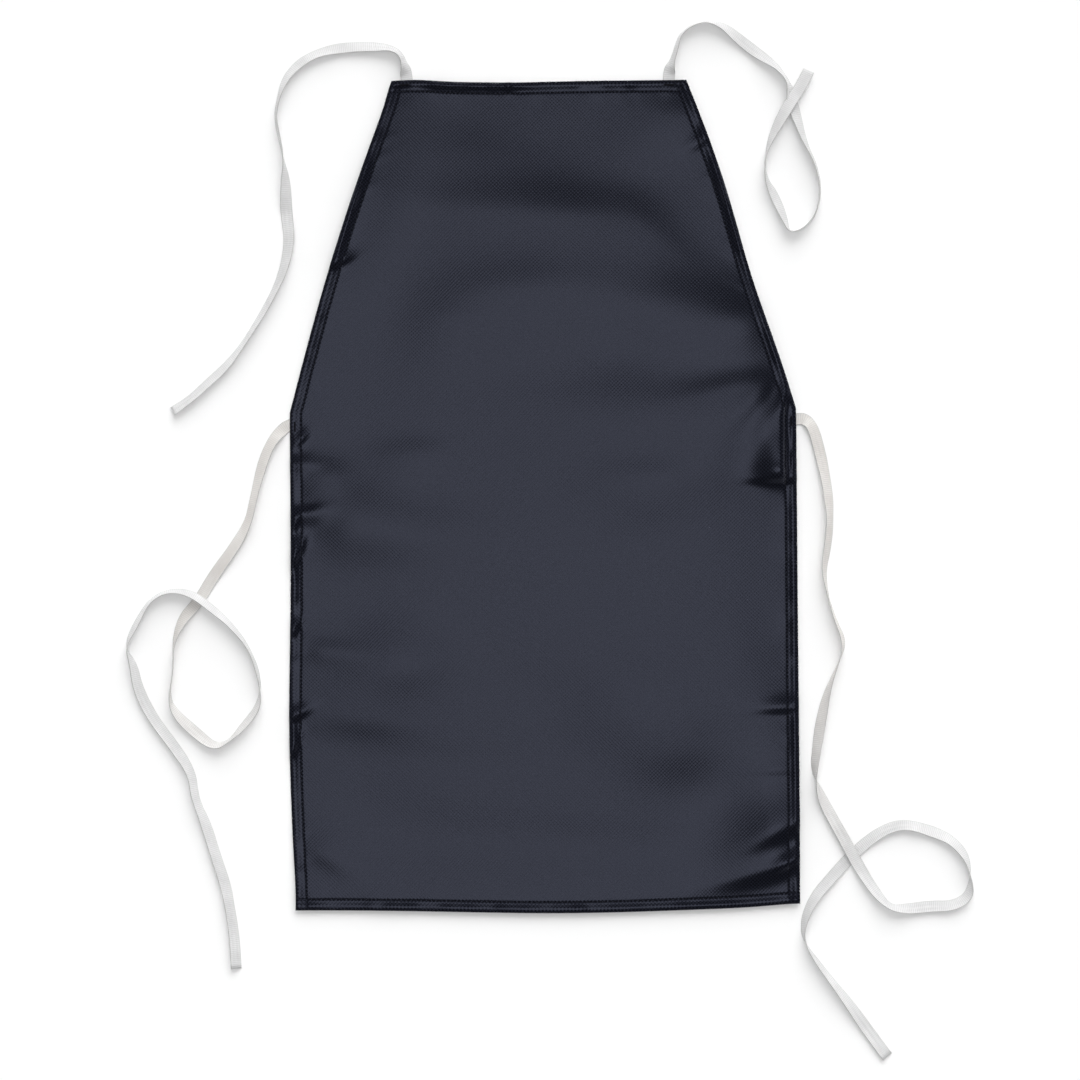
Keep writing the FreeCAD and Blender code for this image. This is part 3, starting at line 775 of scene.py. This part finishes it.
def join_threads(threads):
    """The points and faces of many lengths of thread as those of one mesh."""
    points, faces = [], []
    for thread_points, thread_faces in threads:
        faces += [tuple(i + len(points) for i in face) for face in thread_faces]
        points += thread_points
    return points, faces


def make_seam(edge, seed):
    """One line of lockstitches, each its own short length of thread."""
    rng = np.random.default_rng(seed)
    count = round(edge_length(edge) / STITCH_PITCH)
    gap = STITCH_GAP / edge_length(edge)
    threads = []
    for number in range(count):
        ends = []
        for share in (number / count + gap / 2, (number + 1) / count - gap / 2):
            wander = rng.normal(0, 0.08 * MM)
            x, y = outline_point(edge, share, SEAM_INSET + wander)
            ends.append(on_cloth(x, y, 0.35 * THREAD_RADIUS))
        threads.append(capsule(*ends))
    points, faces = join_threads(threads)
    seam = new_mesh(f"{edge}_seam_stitches", points, faces, THREAD_MATERIAL)
    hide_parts(f"{edge}_seam")
    return seam


def make_tack(name):
    """Close stitches, side by side and slanting to and fro, over the end of a tie."""
    low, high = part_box(name)
    length, width = high.x - low.x, high.y - low.y
    threads = []
    for number in range(TACK_STITCHES):
        near, far = number / TACK_STITCHES, (number + 0.5) / TACK_STITCHES
        if length > width:
            ends = (low.x + length * near, low.y), (low.x + length * far, high.y)
        else:
            ends = (low.x, low.y + width * near), (high.x, low.y + width * far)
        threads.append(capsule(*(on_cloth(*end, 0.3 * THREAD_RADIUS) for end in ends)))
    points, faces = join_threads(threads)
    tack = new_mesh(f"{name}_stitches", points, faces, THREAD_MATERIAL)
    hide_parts(name)


panel_piece = make_panel()
hem_pieces = [make_hem(edge) for edge in EDGES]
seam_pieces = [make_seam(edge, seed) for seed, edge in enumerate(EDGES, start=30)]
for tie_name in TIE_ROUTES:
    make_tack(tie_name.replace("_tie", "_tack"))


# ---------------------------------------------------------------- floor and light


def make_floor():
    """A wide pale floor, just under the apron."""
    reach = 6
    corners = [(-reach, -reach, 0), (reach, -reach, 0), (reach, reach, 0), (-reach, reach, 0)]
    mesh = bpy.data.meshes.new("floor")
    mesh.from_pydata(corners, [], [(0, 1, 2, 3)])
    n = Nodes("floor")
    n.shader.inputs["Base Color"].default_value = (0.95, 0.95, 0.95, 1)
    n.shader.inputs["Roughness"].default_value = 0.9
    n.shader.inputs["Specular IOR Level"].default_value = 0.1
    mesh.materials.append(n.material)
    floor = bpy.data.objects.new("floor", mesh)
    floor.location.z = -0.1 * MM
    bpy.context.scene.collection.objects.link(floor)


def add_light(kind, name, place, energy):
    """A light that points at the middle of the apron."""
    data = bpy.data.lights.new(name, kind)
    data.energy = energy
    light = bpy.data.objects.new(name, data)
    light.location = place
    light.rotation_euler = (-Vector(place)).to_track_quat("-Z", "Y").to_euler()
    bpy.context.scene.collection.objects.link(light)
    return light


def make_light():
    """A softbox high above, which the cloth reflects, a key light from past the bib, and a pale surround."""
    softbox = add_light("AREA", "softbox", place=(0, -0.15, 6), energy=54)
    softbox.data.shape = "SQUARE"
    softbox.data.size = 2.8
    key = add_light("SUN", "key", place=(0.5, 2.6, 1.9), energy=2.3)
    key.data.angle = math.radians(55)
    fill = add_light("SUN", "fill", place=(0, 0, 1), energy=1.38)
    fill.data.angle = math.radians(180)
    for light in (key, fill):
        light.visible_glossy = False
    world = bpy.data.worlds.new("surround")
    world.use_nodes = True
    nodes = world.node_tree.nodes
    links = world.node_tree.links
    background = nodes["Background"]
    background.inputs["Color"].default_value = (1, 1, 1, 1)
    # Pale walls under a dark ceiling. The camera itself sees an even white.
    height = nodes.new("ShaderNodeSeparateXYZ")
    links.new(nodes.new("ShaderNodeTexCoord").outputs["Generated"], height.inputs[0])
    walls = nodes.new("ShaderNodeMapRange")
    walls.inputs["From Max"].default_value = 0.5
    walls.inputs["To Min"].default_value = 0.6
    walls.inputs["To Max"].default_value = 0.03
    links.new(height.outputs["Z"], walls.inputs["Value"])
    strength = nodes.new("ShaderNodeMapRange")
    strength.inputs["To Max"].default_value = 0.95
    links.new(walls.outputs["Result"], strength.inputs["To Min"])
    links.new(nodes.new("ShaderNodeLightPath").outputs["Is Camera Ray"], strength.inputs["Value"])
    links.new(strength.outputs["Result"], background.inputs["Strength"])
    bpy.context.scene.world = world
    bpy.context.scene.view_settings.view_transform = "Standard"


make_floor()
make_light()
